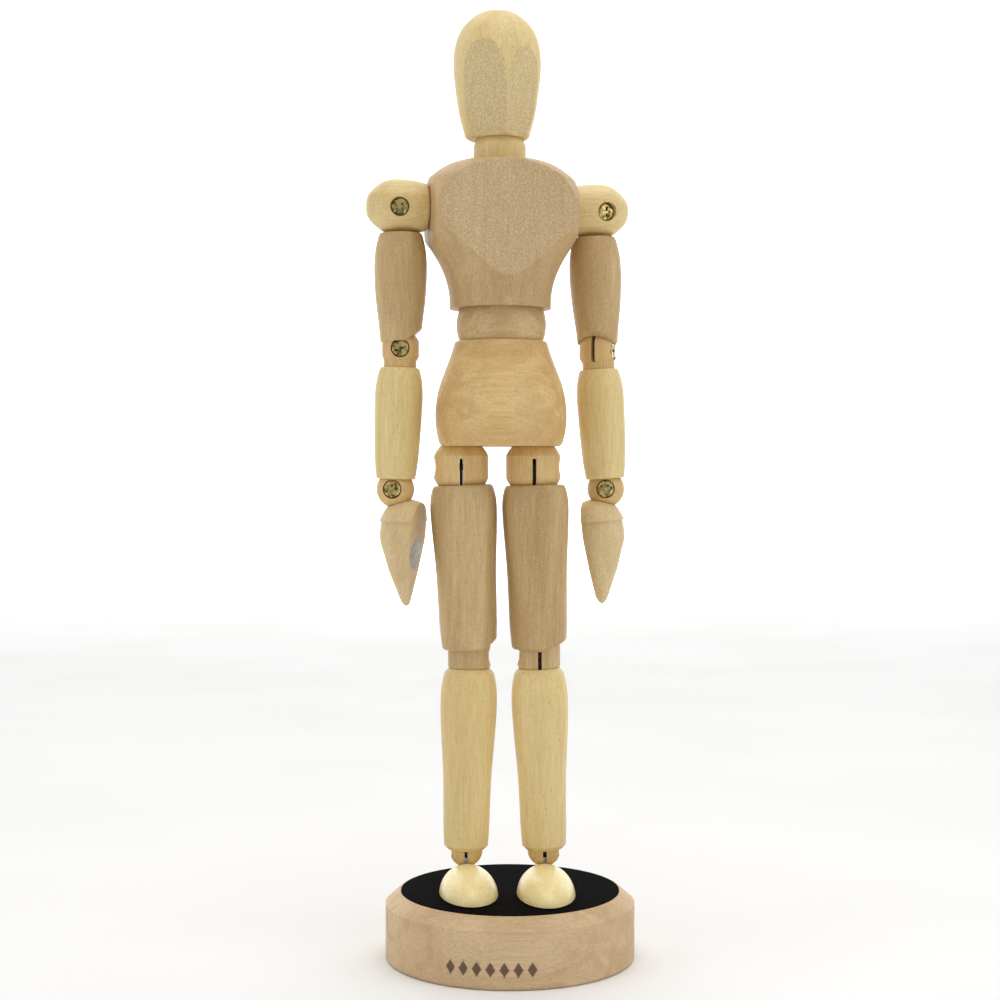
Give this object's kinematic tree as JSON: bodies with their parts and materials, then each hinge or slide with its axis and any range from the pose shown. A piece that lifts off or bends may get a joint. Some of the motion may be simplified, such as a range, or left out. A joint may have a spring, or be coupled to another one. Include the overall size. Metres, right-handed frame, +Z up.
{
  "type": "artist mannequin",
  "caption": "Jointed wooden drawing figure that stands by foot magnets on a round wooden base with a black felt top.",
  "frame": {"origin": "centre of the base's flat underside", "axes": "+Z up, the figure faces -Y, its right side is at -X"},
  "size_m": [0.0852, 0.079, 0.3],
  "materials": {
    "figure_wood": "pale close-grained hardwood, satin",
    "base_wood": "pale hardwood, flat sawn, matt",
    "felt": "black felt",
    "steel": "plain mild steel",
    "brass_screws": "yellow zinc plated screws",
    "magnet": "nickel plated disc magnet"
  },
  "bodies": {
    "base": {"base_block": "base_wood", "base_steel_plate": "steel", "base_felt": "felt"},
    "right_foot": {"right_foot": "figure_wood", "right_sole_magnet": "magnet"},
    "right_ankle": {"right_ankle_ball": "figure_wood", "right_ankle_screw": "brass_screws"},
    "right_calf": {"right_calf": "figure_wood", "right_calf_tongues": "steel"},
    "right_knee": {"right_knee_ball": "figure_wood", "right_knee_screw": "brass_screws"},
    "right_thigh": {"right_thigh": "figure_wood", "right_thigh_tongue": "steel"},
    "right_hip": {"right_hip_ball": "figure_wood", "right_hip_screw": "brass_screws"},
    "left_foot": {"left_foot": "figure_wood", "left_sole_magnet": "magnet"},
    "left_ankle": {"left_ankle_ball": "figure_wood", "left_ankle_screw": "brass_screws"},
    "left_calf": {"left_calf": "figure_wood", "left_calf_tongues": "steel"},
    "left_knee": {"left_knee_ball": "figure_wood", "left_knee_screw": "brass_screws"},
    "left_thigh": {"left_thigh": "figure_wood", "left_thigh_tongue": "steel"},
    "left_hip": {"left_hip_ball": "figure_wood", "left_hip_screw": "brass_screws"},
    "pelvis": {"pelvis": "figure_wood", "pelvis_pin": "steel", "hip_springs": "steel"},
    "waist": {"waist_ball": "figure_wood"},
    "chest": {"chest": "figure_wood", "chest_springs": "steel"},
    "neck": {"neck": "figure_wood"},
    "head": {"head": "figure_wood", "head_pin": "steel"},
    "right_shoulder": {"right_shoulder_ball": "figure_wood", "right_shoulder_screw": "brass_screws"},
    "right_upper_arm": {"right_upper_arm": "figure_wood", "right_upper_arm_tongues": "steel"},
    "right_elbow": {"right_elbow_ball": "figure_wood", "right_elbow_screw": "brass_screws"},
    "right_forearm": {"right_forearm": "figure_wood", "right_forearm_tongue": "steel"},
    "right_wrist": {"right_wrist_ball": "figure_wood", "right_wrist_screw": "brass_screws"},
    "right_hand": {"right_hand": "figure_wood", "right_palm_magnet": "magnet"},
    "left_shoulder": {"left_shoulder_ball": "figure_wood", "left_shoulder_screw": "brass_screws"},
    "left_upper_arm": {"left_upper_arm": "figure_wood", "left_upper_arm_tongues": "steel"},
    "left_elbow": {"left_elbow_ball": "figure_wood", "left_elbow_screw": "brass_screws"},
    "left_forearm": {"left_forearm": "figure_wood", "left_forearm_tongue": "steel"},
    "left_wrist": {"left_wrist_ball": "figure_wood", "left_wrist_screw": "brass_screws"},
    "left_hand": {"left_hand": "figure_wood", "left_palm_magnet": "magnet"}
  },
  "joints": [
    {"name": "figure_lift_off", "type": "slide", "parent": "base", "child": "right_foot", "axis": [0, 0, 1], "range_m": [0, 0.03]},
    {"name": "right_ankle_turn", "type": "hinge", "parent": "right_foot", "child": "right_ankle", "pos_m": [-0.014, 0.003, 0.0332], "axis": [0, 0, 1], "range_deg": [-10, 25]},
    {"name": "right_ankle_bend", "type": "hinge", "parent": "right_ankle", "child": "right_calf", "pos_m": [-0.014, 0.003, 0.0332], "axis": [1, 0, 0], "range_deg": [-20, 12]},
    {"name": "right_knee_bend", "type": "hinge", "parent": "right_calf", "child": "right_knee", "pos_m": [-0.0129, 0.003, 0.0954], "axis": [-1, 0, 0], "range_deg": [0, 40]},
    {"name": "right_knee_turn", "type": "hinge", "parent": "right_knee", "child": "right_thigh", "pos_m": [-0.0129, 0.003, 0.0954], "axis": [0, 0, 1], "range_deg": [0, 15]},
    {"name": "right_hip_bend", "type": "hinge", "parent": "right_thigh", "child": "right_hip", "pos_m": [-0.0155, 0.003, 0.1555], "axis": [1, 0, 0], "range_deg": [-15, 55]},
    {"name": "right_hip_splay", "type": "hinge", "parent": "right_hip", "child": "pelvis", "pos_m": [-0.0155, 0.003, 0.1555], "axis": [0, -1, 0], "range_deg": [0, 8], "deforming": ["hip_springs"]},
    {"name": "left_hip_splay", "type": "hinge", "parent": "pelvis", "child": "left_hip", "pos_m": [0.0075, 0.003, 0.1555], "axis": [0, -1, 0], "range_deg": [0, 12]},
    {"name": "left_hip_bend", "type": "hinge", "parent": "left_hip", "child": "left_thigh", "pos_m": [0.0075, 0.003, 0.1555], "axis": [-1, 0, 0], "range_deg": [-15, 55]},
    {"name": "left_knee_turn", "type": "hinge", "parent": "left_thigh", "child": "left_knee", "pos_m": [0.0093, 0.003, 0.0954], "axis": [0, 0, 1], "range_deg": [0, 20]},
    {"name": "left_knee_bend", "type": "hinge", "parent": "left_knee", "child": "left_calf", "pos_m": [0.0093, 0.003, 0.0954], "axis": [1, 0, 0], "range_deg": [0, 40]},
    {"name": "left_ankle_bend", "type": "hinge", "parent": "left_calf", "child": "left_ankle", "pos_m": [0.011, 0.003, 0.0332], "axis": [-1, 0, 0], "range_deg": [-20, 12]},
    {"name": "left_ankle_turn", "type": "hinge", "parent": "left_ankle", "child": "left_foot", "pos_m": [0.011, 0.003, 0.0332], "axis": [0, 0, 1], "range_deg": [-10, 30]},
    {"name": "waist_bend", "type": "hinge", "parent": "pelvis", "child": "waist", "pos_m": [-0.0027, 0.003, 0.2006], "axis": [1, 0, 0], "range_deg": [-20, 28], "deforming": ["chest_springs"]},
    {"name": "waist_turn", "type": "hinge", "parent": "waist", "child": "chest", "pos_m": [-0.0027, 0.003, 0.2006], "axis": [0, 0, 1], "range_deg": [-40, 40]},
    {"name": "neck_turn", "type": "hinge", "parent": "chest", "child": "neck", "pos_m": [-0.0032, 0.003, 0.255], "axis": [0, 0, 1], "range_deg": [-90, 90]},
    {"name": "neck_nod", "type": "hinge", "parent": "neck", "child": "head", "pos_m": [-0.0032, 0.003, 0.255], "axis": [1, 0, 0], "range_deg": [-20, 22]},
    {"name": "right_shoulder_swing", "type": "hinge", "parent": "chest", "child": "right_shoulder", "pos_m": [-0.03465, 0.00259, 0.238], "axis": [-0.9903, -0.1392, 0], "continuous": true},
    {"name": "right_shoulder_raise", "type": "hinge", "parent": "right_shoulder", "child": "right_upper_arm", "pos_m": [-0.03465, 0.00259, 0.237], "axis": [0, 1, 0], "range_deg": [0, 18]},
    {"name": "right_elbow_bend", "type": "hinge", "parent": "right_upper_arm", "child": "right_elbow", "pos_m": [-0.0347, 0.00259, 0.193], "axis": [0, 1, 0], "range_deg": [0, 50]},
    {"name": "right_elbow_turn", "type": "hinge", "parent": "right_elbow", "child": "right_forearm", "pos_m": [-0.0347, 0.00259, 0.193], "axis": [-0.0382, 0, -0.9993], "range_deg": [-90, 15]},
    {"name": "right_wrist_bend", "type": "hinge", "parent": "right_forearm", "child": "right_wrist", "pos_m": [-0.0364, 0.00259, 0.1485], "axis": [0.1736, 0.9848, 0], "range_deg": [-4, 50]},
    {"name": "right_wrist_turn", "type": "hinge", "parent": "right_wrist", "child": "right_hand", "pos_m": [-0.0364, 0.00259, 0.1485], "axis": [0, 0, 1], "range_deg": [-15, 90]},
    {"name": "left_shoulder_swing", "type": "hinge", "parent": "chest", "child": "left_shoulder", "pos_m": [0.02754, 0.01133, 0.238], "axis": [-0.9903, -0.1392, 0], "continuous": true},
    {"name": "left_shoulder_raise", "type": "hinge", "parent": "left_shoulder", "child": "left_upper_arm", "pos_m": [0.02754, 0.01133, 0.237], "axis": [0.4226, -0.9063, 0], "range_deg": [0, 18]},
    {"name": "left_elbow_bend", "type": "hinge", "parent": "left_upper_arm", "child": "left_elbow", "pos_m": [0.0287, 0.01133, 0.193], "axis": [-0.9397, 0.342, 0], "range_deg": [0, 60]},
    {"name": "left_elbow_turn", "type": "hinge", "parent": "left_elbow", "child": "left_forearm", "pos_m": [0.0287, 0.01133, 0.193], "axis": [0.0606, 0, -0.9982], "range_deg": [-90, 90]},
    {"name": "left_wrist_bend", "type": "hinge", "parent": "left_forearm", "child": "left_wrist", "pos_m": [0.0314, 0.01133, 0.1485], "axis": [-0.1045, -0.9945, 0], "range_deg": [-4, 50]},
    {"name": "left_wrist_turn", "type": "hinge", "parent": "left_wrist", "child": "left_hand", "pos_m": [0.0314, 0.01133, 0.1485], "axis": [0, 0, 1], "range_deg": [-90, 90]}
  ],
  "couplings": [
    {"joint": "left_hip_bend", "follows": "right_hip_bend", "ratio": 1},
    {"joint": "left_knee_bend", "follows": "right_knee_bend", "ratio": 1},
    {"joint": "left_ankle_bend", "follows": "right_ankle_bend", "ratio": 1}
  ]
}
